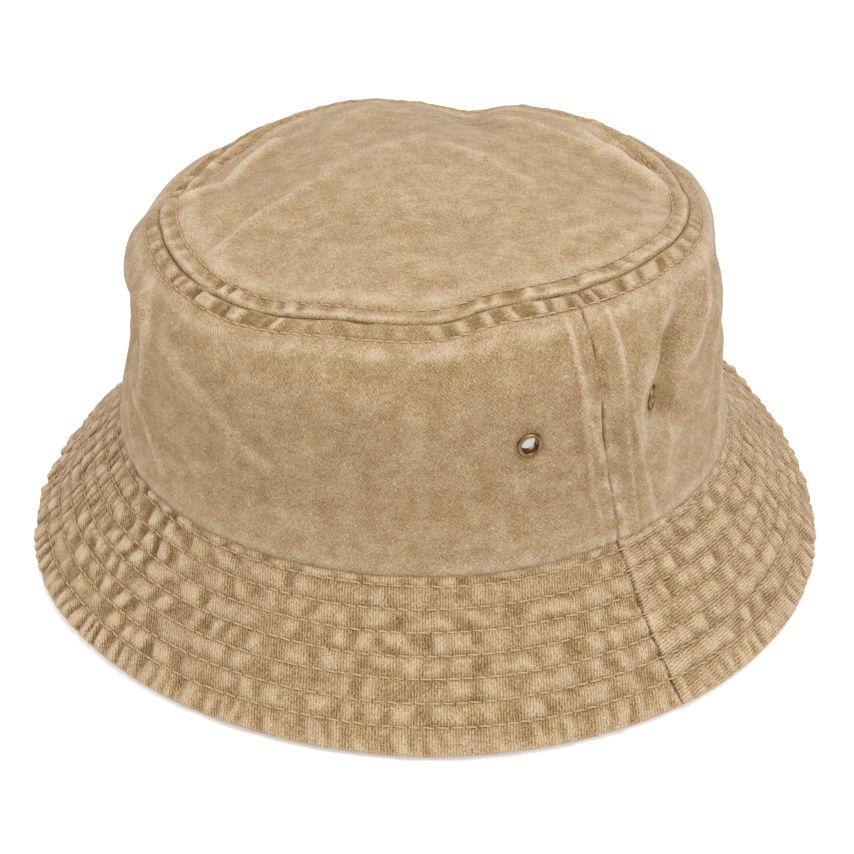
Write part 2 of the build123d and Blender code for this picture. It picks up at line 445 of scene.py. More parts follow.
def brim_base(turn, out):
    """The brim's upper face without its stitching."""
    turn, out = np.broadcast_arrays(turn, out)
    share = np.clip(out / BRIM_WIDTH, 0, 1.1)
    reach = around_hat(RIM_REACH, turn) * share**1.5
    rise = around_hat(RIM_TURN_UP, turn) * share**1.8
    rise += 0.7 * noise(turn / TAU, share, 11, 1, 8) * share**2
    radius = JOIN_RADIUS + out * math.cos(BRIM_SLOPE) + reach
    height = JOIN_HEIGHT - out * math.sin(BRIM_SLOPE) + np.maximum(rise, -0.5 * share)
    return ring_points(radius, turn, height)


def normals_of(points):
    """Outward unit normals of a grid whose rows run down the hat and whose columns run around it."""
    normal = np.cross(np.gradient(points, axis=0), np.gradient(points, axis=1))
    return normal / np.maximum(np.linalg.norm(normal, axis=-1, keepdims=True), 1e-9)


def normals_at(surface, turn, line, step=0.3, swing=0.003):
    """Unit normals of a surface at single points, pointing either way."""
    down = surface(turn, line + step) - surface(turn, line - step)
    around = surface(turn + swing, line) - surface(turn - swing, line)
    up = np.cross(around, down)
    return up / np.linalg.norm(up, axis=-1, keepdims=True)


# ---- relief on the cloth


def beside_seam(turn, along, number):
    """Distance around from a side seam, and past the edge of the allowance pressed behind it."""
    across = wrapped(turn - seam_drift(turn, along) - SIDE_SEAMS[number]) * SEAM_ARC
    edge = np.where(across < 0, -across - 5.8, across - 8.0)
    return across, edge + 0.5 * seam_noise(number, along, 12, 20)


def crown_relief(turn, along):
    """Height of the crown's seams, allowances and puckers above its base, along the normal."""
    turn, along = np.broadcast_arrays(turn, along)
    share = turn / TAU
    view = view_angle(turn)
    from_seam = np.abs(along)
    # The crown seam: a raised allowance, a groove with a ridge above it, and two sunken rows
    reach = ALLOWANCE + 0.7 * ring_noise(share, 130, 11)
    relief = 0.5 * (1 - smooth(from_seam, reach - 1.6, reach + 1.2))
    groove = 0.5 + 0.3 * ring_noise(share, 90, 28)
    relief -= groove * bump(along + 0.6 * ring_noise(share, 130, 19), 0.5)
    relief -= 0.2 * bump(along, 1.4)
    relief += 0.22 * bump(along + 1.5, 0.8)
    relief -= 0.42 * bump(from_seam - CROWN_ROW, 0.6)
    # Puckers between the rows, strongest at the picture's left and right
    between = plateau(from_seam, 0.3, 1.4, 4.0, 5.1)
    tilt = 0.0012 * ring_noise(share, 60, 17) * (from_seam - 2.5)
    above, below = ring_noise(share + tilt, 250, 12), ring_noise(share + tilt, 300, 13)
    pucker = np.where(along < 0, 0.5 * above, below)
    strength = 0.55 + 0.5 * ring_noise(share, 24, 14)
    strength += 0.75 * bump(view + 52, 24) + 0.45 * bump(view - 50, 20)
    strength *= 1 - 0.4 * smooth(np.abs(view), 125, 145)
    relief += 0.88 * between * np.clip(1.6 * pucker, -0.75, 0.65) * strength
    # A soft roll outside the rows
    relief += 0.3 * bump(from_seam - 8.2, 2.4) * (0.6 + ring_noise(share, 150, 15))
    # The side seams: a groove between two beaded lips, and the pressed allowance's raised edge
    for number in range(len(SIDE_SEAMS)):
        across, edge = beside_seam(turn, along, number)
        ripple = seam_noise(number, along, 26, 16)
        bead = seam_noise(number, along, 40, 18, offset=0.5)
        pressed = 1 - smooth(edge, -1.2, 1.0)
        seam = 0.25 * pressed + 0.4 * bump(edge, 0.9) - 0.2 * bump(across, 1.5)
        seam -= (0.42 + 0.3 * bead) * bump(across, 0.38)
        seam += 0.35 * ripple * bump(across, 5.0)
        seam += 0.35 * bead * bump(np.abs(across) - 1.4, 1.2)
        relief += smooth(along, 3, 9) * seam
    return relief


def brim_relief(turn, out, seed=0):
    """Height of the brim's quilting above its base: rows pulled down, and puckers between them."""
    turn, out = np.broadcast_arrays(turn, out)
    share = turn / TAU
    out_share = out / BRIM_WIDTH
    view = view_angle(turn)
    to_side = plateau(np.abs(view), 48, 78, 112, 132)
    on_left = plateau(-view, 18, 45, 90, 120)
    # Noise that crosses the rows, and narrow flutes where the brim turns up at the sides
    common = ring_noise(share, 230, 21 + seed)
    leaning = noise(share + 0.0005 * out, out_share, 170, 7, 51 + seed)
    bent = 0.0016 * noise(share, out_share, 140, 16, 52 + seed)
    flute = noise(share + 0.00018 * out, out_share, 400, 3, 29 + seed)
    fluted = 0.32 - 0.85 * bump(flute, 0.3) + 0.45 * noise(share, out_share, 360, 9, 30 + seed)
    # Puckers in each band between two rows
    relief = np.zeros(turn.shape)
    edges = [0.0, *ROWS_AT, BRIM_WIDTH + 1.0]
    for number, (start, end) in enumerate(zip(edges[:-1], edges[1:])):
        in_band = (out >= start) & (out < end)
        if not in_band.any():
            continue
        last = number == BRIM_ROWS
        cells, count, top = (430, 150, 0.62) if last else (262 - 6 * number, 66 + 2 * number, 1)
        inside = np.clip((out - start) / (end - start), 0, 1)
        hill = np.sin(math.pi * np.clip(inside, 0, top)) ** 0.7
        skew = 0.004 * ring_noise(share, 70, 40 + number) * (inside - 0.5)
        own = noise(share + skew + bent, inside, cells, 2, 22 + number + seed)
        even = cells_around(share + skew, count, 140 + number + seed)
        fine = noise(share - skew, inside, 640, 3, 62 + number + seed)
        pucker = 0.15 * common + 0.28 * leaning + 0.85 * own + (0.4 + 0.45 * on_left) * even
        pucker = np.clip(pucker, -0.8, 0.62) + 0.24 * fine
        pucker = pucker * (1 - 0.4 * to_side) + 0.85 * fluted * to_side
        strength = 0.85 + 0.25 * ring_noise(share, 60, 90 + number)
        relief += np.where(in_band, hill * (0.2 + 0.72 * strength * pucker), 0)
    relief += 0.18 * common * smooth(out, 0, 3)
    relief -= 0.2 * sum(bump(out - row, 0.7) for row in ROWS_AT)
    relief += 0.34 * to_side * fluted * smooth(out, 2, 10)
    # The side seams, where one half stands a little above the other
    for number, seam in enumerate(SIDE_SEAMS):
        phase = number + 3
        wander = 0.5 * np.sin(out / 9.0 + phase) + 0.25 * np.sin(out / 3.7 + 2 * phase)
        across = wrapped(turn - seam - BRIM_TURN) * (JOIN_RADIUS + out * 0.7)
        across += 0.5 * wander - 1.8 * (1 - smooth(out, 0, 24))
        step = smooth(across, -0.4, 0.4) - smooth(across, 1.5, 7.0)
        relief += 0.3 * step - 0.75 * bump(across, 0.4)
    return relief


def raised_face(base, relief):
    """A grid's finished face, with its normals and relief."""
    normal = normals_of(base)
    return base + normal * relief[..., None], normal, relief


def crown_face(turn, along):
    """The crown's finished outer face as a grid."""
    turn, along = np.meshgrid(turn, along)
    turn = turn + seam_drift(turn, along) * smooth(along, 0, 8)
    return raised_face(crown_base(turn, along), crown_relief(turn, along))


def brim_face(turn, out):
    """The brim's finished upper face as a grid."""
    turn, out = np.meshgrid(turn, out)
    return raised_face(brim_base(turn, out), brim_relief(turn, out))


# ---- meshes


def linked(name, data):
    """A new object in the scene."""
    obj = bpy.data.objects.new(name, data)
    bpy.context.scene.collection.objects.link(obj)
    return obj


def make_object(name, points, faces, attributes=None):
    """A mesh object from points in millimetres. attributes maps a name to one value per point."""
    mesh = bpy.data.meshes.new(name)
    points = np.asarray(points, float).reshape(-1, 3) * MM
    mesh.from_pydata(points.tolist(), [], [list(face) for face in faces])
    for key, values in (attributes or {}).items():
        values = np.asarray(values, float)
        kind, field = ("FLOAT", "value") if values.ndim == 1 else ("FLOAT_VECTOR", "vector")
        layer = mesh.attributes.new(key, kind, "POINT")
        layer.data.foreach_set(field, values.ravel())
    mesh.polygons.foreach_set("use_smooth", np.ones(len(mesh.polygons), bool))
    mesh.update()
    return linked(name, mesh)


def grid_faces(rows, columns, wrap=False, keep=None):
    """Quads of a rows by columns grid of points; keep marks the cells that aren't cut away."""
    faces = []
    for r in range(rows - 1):
        for c in range(columns if wrap else columns - 1):
            if keep is None or keep[r, c]:
                a, d = r * columns + c, r * columns + (c + 1) % columns
                faces.append((a, a + columns, d + columns, d))
    return faces


def both_sides(faces, size):
    """A face grid of size points, and the same grid turned over for the points that follow."""
    return faces + [tuple(size + v for v in face[::-1]) for face in faces]


def wall_faces(faces, size):
    """Quads that join a face grid to the turned one around every open edge."""
    edges = [edge for a, b, c, d in faces for edge in ((d, a), (b, c), (a, b), (c, d))]
    shared = set(edges)
    return [(q, p, size + p, size + q) for p, q in edges if (q, p) not in shared]


def sheet_object(name, outer, inner, wear_and_painted_light, flat, wrap=False, keep=None):
    """A closed sheet of cloth from its outer and inner faces, which are grids of the same size."""
    rows, columns = outer.shape[:2]
    size = rows * columns
    grid = grid_faces(rows, columns, wrap, keep)
    points = np.concatenate([outer.reshape(-1, 3), inner.reshape(-1, 3)])
    attributes = {"wear_and_painted_light": np.tile(wear_and_painted_light.ravel(), 2), "flat": np.tile(flat.reshape(-1, 3), (2, 1))}
    return make_object(name, points, both_sides(grid, size) + wall_faces(grid, size), attributes)


def blurred(values, reach):
    """A moving average over reach points each way, down the rows and then along them."""
    size = 2 * reach + 1
    for _ in range(2):
        total = np.cumsum(np.pad(values, ((reach + 1, reach), (0, 0)), mode="edge"), axis=0)
        values = ((total[size:] - total[:-size]) / size).T
    return values


def worn(relief, reach, gain):
    """How worn each point is, from how far it stands above the cloth within reach points of it."""
    return gain * (relief - blurred(blurred(relief, reach), reach))


def half_columns(start, radius, fine, coarse):
    """Turns for the columns of half the hat: close together near its two ends, at the seams."""
    end = start + math.pi
    ends = int(SEAM_REACH / fine)
    near = np.arange(ends) * fine / radius
    inset = ends * fine / radius
    middle = np.linspace(start + inset, end - inset, int((end - start) * radius / coarse))
    return np.concatenate([start + near, middle, (end - near)[::-1]])


# ---- crown and brim panels

EYELETS = {}
for place in ("left_front", "left_back", "right_front", "right_back"):
    centre = sum(corners_mm(f"eyelet_{place}")) / 2
    carried, raised = EYELET_SHIFT.get(place, (0.0, 0.0))
    EYELETS[place] = (math.atan2(centre[1], centre[0]) + carried / JOIN_RADIUS, centre[2] + raised)


def side_distance_for(turn, height):
    """Distance down from the crown seam of a height on the straight wall."""
    above_join = height - JOIN_HEIGHT
    for _ in range(6):
        above_join = height - JOIN_HEIGHT - seam_lift(turn) * smooth(above_join, *LIFT_FADE)
    return SIDE_LENGTH - above_join / math.cos(WALL_LEAN)


def eyelet_distance(turn, along, angle, height):
    """Distance over the side band from an eyelet's centre."""
    gap = wrapped(turn + seam_drift(turn, along) - angle)
    return np.hypot(gap * JOIN_RADIUS, along - side_distance_for(angle, height))


def make_side_panel(half):
    """A half of the side band, with its eyelets' holes."""
    turn = half_columns(HALVES[half], JOIN_RADIUS, *SIDE_SPACING)
    along = np.concatenate([NEAR_SEAM, np.linspace(NEAR_REACH, SIDE_LENGTH, SIDE_LINES)])
    outer, normal, relief = crown_face(turn, along)
    cells = np.meshgrid((turn[:-1] + turn[1:]) / 2, (along[:-1] + along[1:]) / 2)
    turn, along = np.meshgrid(turn, along)
    view = view_angle(turn)
    above_join = outer[..., 2] - JOIN_HEIGHT
    # Worn pale on high spots, the roll at the foot and a line outside the rows, and darker between
    # them; paler over the lowest part of the band. Crease crests are rubbed pale and carry a painted
    # highlight, the band's right side a painted light, and the cloth round each eyelet a painted shadow
    halo = bump(along - 8.6, 2.6) - 0.6 * bump(along - 2.6, 2.6)
    wear_and_painted_light = 0.52 + worn(relief, 4, 0.95) + 0.3 * halo
    wear_and_painted_light += worn(side_buckle(turn, above_join), 5, 0.3)
    wear_and_painted_light += 0.17 * crest_share(view * DEGREE, above_join, WIDE_SIDE_CREASES)
    wear_and_painted_light += 0.16 * bump(above_join - 2.0, 1.8) + 0.1 * (1 - smooth(above_join, 2, 26))
    # Painted light: the band is painted paler towards the picture's right, as if lit more from that
    # side
    wear_and_painted_light += 0.09 * smooth(view, 26, 44)
    keep = np.ones(cells[0].shape, bool)
    for eyelet in EYELETS.values():
        keep &= eyelet_distance(*cells, *eyelet) > CLOTH_HOLE
        # Painted contact shadow: a darker ring just outside each eyelet's flange
        wear_and_painted_light -= 0.3 * bump(eyelet_distance(turn, along, *eyelet) - 3.9, 1.1)
    for number in range(len(SIDE_SEAMS)):
        across, edge = beside_seam(turn, along, number)
        wear_and_painted_light += (0.34 * bump(edge, 1.0) - 0.16 * bump(across, 2.4)) * smooth(along, 4, 9)
    flat = flat_points(turn * SIDE_PATTERN_RADIUS, along)
    inner = outer - normal * CROWN_CLOTH
    obj = sheet_object(f"crown_side_{half}", outer, inner, wear_and_painted_light, flat, keep=keep)
    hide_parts(f"side_panel_{half}")
    return obj


def make_top():
    """The crown's round top."""
    columns = TOP_COLUMNS
    turn = np.linspace(-math.pi, math.pi, columns, endpoint=False)
    far = np.linspace(NEAR_REACH, SEAM_RADIUS - 1.2, TOP_LINES)
    along = -np.concatenate([NEAR_SEAM, far])[::-1]
    outer, normal, relief = crown_face(turn, along)
    inner = outer - normal * CROWN_CLOTH
    rows = len(along)
    size = rows * columns
    turn, along = np.meshgrid(turn, along)
    radius = SEAM_RADIUS + along
    halo = bump(-along - 9.0, 3.0) - 0.6 * bump(-along - 3.0, 2.4)
    patches = np.clip(0.7 + ring_noise(turn / TAU, 60, 34), 0, 1.4)
    browner = 0.26 * bump(-along - 4.8, 1.3) * patches - 0.16 * bump(-along - 1.4, 0.8)
    wear_and_painted_light = 0.67 - browner + worn(relief, 4, 0.9) + worn(top_wave(turn, radius), 5, 0.35)
    # Crease crests: rubbed pale, with a painted highlight
    wear_and_painted_light += 0.24 * halo + 0.13 * crest_share(*picture_place(turn, radius), TOP_CREASES)
    flat = flat_points(radius * np.cos(turn - TOP_GRAIN), radius * np.sin(turn - TOP_GRAIN))

    # Two wrapped grids, joined at the seam and closed by fans at the centre
    faces = both_sides(grid_faces(rows, columns, wrap=True), size)
    rim = (rows - 1) * columns
    for c in range(columns):
        n = (c + 1) % columns
        faces.append((rim + n, rim + c, size + rim + c, size + rim + n))
        faces.append((2 * size, c, n))
        faces.append((2 * size + 1, size + n, size + c))
    middle = outer[0].mean(0)
    centres = [middle, middle - [0, 0, CROWN_CLOTH]]
    points = np.concatenate([outer.reshape(-1, 3), inner.reshape(-1, 3), centres])
    attributes = {
        "wear_and_painted_light": np.concatenate([wear_and_painted_light.ravel(), wear_and_painted_light.ravel(), [0.5, 0.5]]),
        "flat": np.concatenate([flat.reshape(-1, 3), flat.reshape(-1, 3), np.zeros((2, 3))]),
    }
    obj = make_object("crown_top", points, faces, attributes)
    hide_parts("top_panel")
    return obj


def brim_columns(half, spacing):
    """Where a brim half starts, and the turns of its columns."""
    start = HALVES[half] + BRIM_TURN
    return start, half_columns(start, RIM_RADIUS - 12, *spacing)


def brim_pattern(turn, out, start):
    """Where a point lies on the brim's flat pattern piece, which is a wide arc of cloth."""
    radius = BRIM_PATTERN_RADIUS + out
    swing = (turn - start - math.pi / 2) * BRIM_PATTERN_SWING
    return flat_points(radius * np.sin(swing), radius * np.cos(swing))


def make_brim_upper(half):
    """The upper ply, rolled over at the rim."""
    start, turn = brim_columns(half, BRIM_SPACING)
    out = np.linspace(-1.4, BRIM_WIDTH, BRIM_LINES)
    face, normal, relief = brim_face(turn, out)
    down = np.gradient(face, axis=0)[-1]
    down /= np.linalg.norm(down, axis=-1, keepdims=True)
    centre = face[-1] - normal[-1] * ROLL
    rolled = [
        centre + (normal[-1] * math.cos(angle) + down * math.sin(angle)) * ROLL
        for angle in np.radians([25, 50, 75, 100, 130, 160, 180])
    ]
    outer = np.concatenate([face, np.array(rolled)])
    inner = outer - normals_of(outer) * BRIM_CLOTH
    view = view_angle(turn)
    # Painted shading: on the picture's left the rub marks get more contrast, standing in for the light
    # and shade on the flutes there; towards the picture's right the brim is painted a little paler, as
    # if lit more from that side
    gain = 1 + 0.62 * plateau(-view, 25, 60, 110, 140) + 0.1 * smooth(view, 20, 45)
    wear_and_painted_light = 0.5 + 0.06 * plateau(view, 20, 50, 100, 130) + worn(relief, 5, 0.76) * gain
    wear_and_painted_light += 0.14 * smooth(out, BRIM_WIDTH - 5, BRIM_WIDTH)[:, None]
    rim_wear_and_light = np.clip(0.5 * wear_and_painted_light[-1] + 0.45, 0, 1.2)
    wear_and_painted_light = np.concatenate([wear_and_painted_light, np.tile(rim_wear_and_light, (len(rolled), 1))])
    rim_lines = out[-1] + np.linspace(0.4, 3.0, len(rolled))
    flat = brim_pattern(*np.meshgrid(turn, np.concatenate([out, rim_lines])), start)
    obj = sheet_object(f"brim_top_{half}", outer, inner, wear_and_painted_light, flat)
    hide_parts(f"brim_upper_{half}")
    return obj


def under_depth(turn, out):
    """How far the under ply's lower face is below the brim's base."""
    own = brim_relief(turn, np.maximum(out, 0.5), 5)
    through = brim_relief(turn, np.maximum(out, 0.5))
    return BRIM_STACK + 0.1 + np.clip(0.7 * own - 0.35 * through, -0.25, 0.9)


def make_brim_under(half):
    """The under ply and the interlining, as one piece."""
    start, turn = brim_columns(half, LINING_SPACING)
    turn, out = np.meshgrid(turn, np.linspace(-3.0, BRIM_WIDTH - 0.2, LINING_LINES))
    base = brim_base(turn, out)
    normal = normals_of(base)
    depth = under_depth(turn, out)
    lower = base - normal * depth[..., None]
    upper = base - normal * (BRIM_STACK - 0.45)
    flat = brim_pattern(turn, out, start)
    obj = sheet_object(f"brim_lining_{half}", upper, lower, 0.5 + worn(depth, 4, 0.9), flat)
    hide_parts(f"brim_under_{half}", f"brim_interlining_{half}")
    return obj


# ---- stitches


def stitch_mesh(start, end, up):
    """One stitch: a short thread that arches from its start hole to its end hole."""
    sides, steps = 6, 6
    points = []
    along = end - start
    side = np.cross(along / np.linalg.norm(along), up)
    side /= np.linalg.norm(side)
    for k in range(steps):
        t = k / (steps - 1)
        swell = 0.35 + 0.65 * math.sin(math.pi * min(max(t, 0.12), 0.88)) ** 0.5
        middle = start + along * t + up * (STITCH_ARCH * (math.sin(math.pi * t) - 0.45))
        for s in range(sides):
            turn = TAU * s / sides
            spoke = side * math.cos(turn) + up * math.sin(turn) * 0.85
            points.append(middle + spoke * THREAD_RADIUS * swell)
    faces = grid_faces(steps, sides, wrap=True)
    faces.append(tuple(range(sides)))
    faces.append(tuple(range((steps - 1) * sides, steps * sides))[::-1])
    return points, faces


def stitch_row(name, cad_node, places, radius, pitch, seed):
    """Stitches around the hat. Each of places(turn) gives points on the cloth and its normals."""
    random = np.random.default_rng(seed)
    count = int(round(TAU * radius / pitch))
    points, faces = [], []
    for locate in places:
        starts = (np.arange(count) + random.uniform(-0.05, 0.05, count)) * TAU / count
        span = TAU / count * random.uniform(0.76, 0.88, count)
        slant = random.uniform(-0.12, 0.12, count) + 0.1
        first, up_first = locate(starts)
        last, up_last = locate(starts + span)
        for k in range(count):
            up = up_first[k] + up_last[k]
            up /= np.linalg.norm(up)
            direction = last[k] - first[k]
            side = np.cross(direction / np.linalg.norm(direction), up) * slant[k]
            ring, quads = stitch_mesh(first[k] - side, last[k] + side, up)
            offset = len(points)
            points.extend(ring)
            faces.extend(tuple(offset + v for v in quad) for quad in quads)
    obj = make_object(name, points, faces)
    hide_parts(cad_node)
    return obj


def on_crown(along, lift=0.14):
    """Where a crown stitch lies, for a distance from the crown seam."""

    def locate(turn):
        line = along + 0.25 * ring_noise(turn / TAU, 30, int(abs(along)) + 71)
        here = crown_base(turn, line)
        up = normals_at(crown_base, turn, line)
        up *= np.sign((up * here).sum(-1, keepdims=True))
        return here + up * (crown_relief(turn, line) + lift)[:, None], up

    return locate


def on_brim(out, below=False):
    """Where a brim stitch lies, on the upper face or under the brim."""

    def locate(turn):
        line = out + 0.22 * ring_noise(turn / TAU, 34, int(out) + 81)
        here = brim_base(turn, line)
        up = normals_at(brim_base, turn, line)
        up *= np.sign(up[:, 2:3])
        if below:
            return here - up * (under_depth(turn, line) + 0.1)[:, None], -up
        return here + up * (brim_relief(turn, line) + 0.12)[:, None], up

    return locate


def on_sweatband(turn):
    """Where a sweatband stitch lies, on the inner face near the head opening."""
    outward = ring_points(1.0, turn, 0 * turn)
    return crown_base(turn, SIDE_LENGTH - 2.0) - outward * (BAND_DEPTH + 0.7), -outward


def make_stitches():
    made = []
    for number, out in enumerate(ROWS_AT):
        name, cad_node = f"brim_stitches_{number + 1}", f"brim_stitch_row_{number + 1}"
        places = (on_brim(out), on_brim(out, below=True))
        made.append(stitch_row(name, cad_node, places, row_radius[number], BRIM_PITCH, 100 + number))
    for name, cad_node, place, radius, pitch, seed in (
        ("crown_stitches_upper", "crown_stitch_upper", on_crown(-CROWN_ROW), 73, CROWN_PITCH, 120),
        ("crown_stitches_lower", "crown_stitch_lower", on_crown(CROWN_ROW), 82, CROWN_PITCH, 121),
        ("sweatband_stitches", "sweatband_stitch", on_sweatband, 90, BAND_PITCH, 122),
    ):
        made.append(stitch_row(name, cad_node, (place,), radius, pitch, seed))
    return made


# ---- sweatband, tape and eyelets


def make_band(name, cad_node, along, columns, depth, thickness, pattern_radius, size):
    """A band all round inside the crown, which takes its shape; depth is to its outer face."""
    turn = np.linspace(-math.pi, math.pi, columns, endpoint=False)
    turn, along = np.meshgrid(turn, along)
    base = crown_base(turn, along)
    normal = normals_of(base)
    outer = base - normal * depth
    flat = flat_points(turn * pattern_radius, along)
    wear_and_painted_light = np.full(turn.shape, 0.5)
    obj = sheet_object(name, outer, outer - normal * thickness, wear_and_painted_light, flat, wrap=True)
    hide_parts(cad_node)
    return obj


def make_sweatband():
    """A straight band inside the head opening."""
    top = SIDE_LENGTH - (band_high[2] - band_low[2])
    along = np.linspace(top, SIDE_LENGTH, BAND_LINES)
    shape = (along, BAND_COLUMNS, BAND_DEPTH, BAND_CLOTH, SIDE_PATTERN_RADIUS)
    return make_band("sweat_band", "sweatband", *shape, size=(0.5717, 0.030))


def make_tape():
    """Tape over the inside of the crown seam."""
    along = np.linspace(-6.2, 6.2, TAPE_LINES)
    shape = (along, TAPE_COLUMNS, CROWN_CLOTH + 1.3, TAPE_CLOTH, TAPE_PATTERN_RADIUS)
    return make_band("seam_tape", "crown_seam_tape", *shape, size=(0.486, 0.0124))


def lathe(name, profile, origin, axis, segments=48):
    """A solid of revolution; profile is (radius, height along the axis), closed."""
    side = np.cross(axis, [0, 0, 1.0])
    side /= np.linalg.norm(side)
    up = np.cross(side, axis)
    count = len(profile)
    points, faces = [], []
    for s in range(segments):
        turn = TAU * s / segments
        outward = side * math.cos(turn) + up * math.sin(turn)
        points.extend(origin + outward * r + axis * h for r, h in profile)
        here, there = s * count, (s + 1) % segments * count
        for k in range(count):
            m = (k + 1) % count
            faces.append((here + k, there + k, there + m, here + m))
    return make_object(name, points, faces)


WASHER = [(2.7, -1.55), (4.0, -1.55), (4.15, -1.7), (4.0, -1.88), (2.7, -1.88)]


def make_eyelets():
    """A rolled brass flange outside, its barrel through the cloth, and a washer inside."""
    half = (FLANGE - EYELET_HOLE) / 2
    dome = [
        (EYELET_HOLE + half - half * math.cos(t), 0.1 + 0.75 * math.sin(t))
        for t in np.linspace(0, math.pi, 11)
    ]
    slope = [(FLANGE, -0.22), (FLANGE - 0.2, -0.3), (EYELET_HOLE + 0.4, -0.12)]
    barrel = [(EYELET_HOLE + 0.35, -1.9), (3.1, -2.15), (3.1, -2.35), (2.5, -2.4), (EYELET_HOLE, -2.2)]
    made = []
    for place, (angle, height) in EYELETS.items():
        along = side_distance_for(angle, height)
        here = crown_base(angle, along)
        reach = 2.6
        axis = normals_at(crown_base, angle, along, reach, reach / JOIN_RADIUS)
        axis *= np.sign(axis @ here)
        for name, cad_node, profile in (
            (f"eyelet_ring_{place}", f"eyelet_{place}", dome + slope + barrel),
            (f"eyelet_back_{place}", f"eyelet_washer_{place}", WASHER),
        ):
            made.append(lathe(name, profile, here, axis))
            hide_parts(cad_node)
    return made


# ---- materials


def new_material(name):
    """A material with its node tree and shader."""
    material = bpy.data.materials.new(name)
    material.use_nodes = True
    return material, material.node_tree, material.node_tree.nodes["Principled BSDF"]


def fill(tree, made, inputs):
    """Link a node's sockets to other nodes' outputs, or set their constants."""
    for key, value in inputs.items():
        if isinstance(value, bpy.types.NodeSocket):
            tree.links.new(value, made.inputs[key])
        else:
            made.inputs[key].default_value = value


def node(tree, kind, inputs, **settings):
    made = tree.nodes.new(kind)
    for key, value in settings.items():
        setattr(made, key, value)
    fill(tree, made, inputs)
    return made


def maths(tree, operation, *values, clamp=False):
    inputs = dict(enumerate(values))
    return node(tree, "ShaderNodeMath", inputs, operation=operation, use_clamp=clamp).outputs[0]


def summed(tree, *parts):
    """The sum of (value, weight) pairs."""
    total = None
    for value, weight in parts:
        part = value if weight == 1 else maths(tree, "MULTIPLY", value, weight)
        total = part if total is None else maths(tree, "ADD", total, part)
    return total


def centred(tree, value, gain):
    """A 0 to 1 value, moved to be around 0 and scaled."""
    return maths(tree, "MULTIPLY", maths(tree, "SUBTRACT", value, 0.5), gain)


def cloth_attribute(tree, name, output):
    return node(tree, "ShaderNodeAttribute", {}, attribute_name=name).outputs[output]


def object_place(tree):
    return node(tree, "ShaderNodeTexCoord", {}).outputs["Object"]


def noise_texture(tree, place, scale, detail, roughness=0.5):
    inputs = {"Vector": place, "Scale": scale, "Detail": detail, "Roughness": roughness}
    return node(tree, "ShaderNodeTexNoise", inputs).outputs["Fac"]


def turned(tree, place, degrees):
    inputs = {"Vector": place, "Rotation": (0, 0, math.radians(degrees))}
    return node(tree, "ShaderNodeMapping", inputs).outputs[0]


def stretched(tree, place, scale_x, scale_y):
    inputs = {"Vector": place, "Scale": (scale_x, scale_y, 1.0)}
    return node(tree, "ShaderNodeMapping", inputs).outputs[0]


def mix_colour(tree, share, first, second):
    inputs = {0: share, 6: (*first, 1.0), 7: (*second, 1.0)}
    return node(tree, "ShaderNodeMix", inputs, data_type="RGBA").outputs[2]


def bumped(tree, height, strength, distance):
    """A normal with a relief from a height; distance is in metres."""
    inputs = {"Height": height, "Strength": strength, "Distance": distance}
    return node(tree, "ShaderNodeBump", inputs).outputs[0]


def srgb(red, green, blue):
    """A colour from 0-255 display values, as linear light."""
    return tuple(((c / 255 + 0.055) / 1.055) ** 2.4 if c > 10 else c / 3294 for c in (red, green, blue))


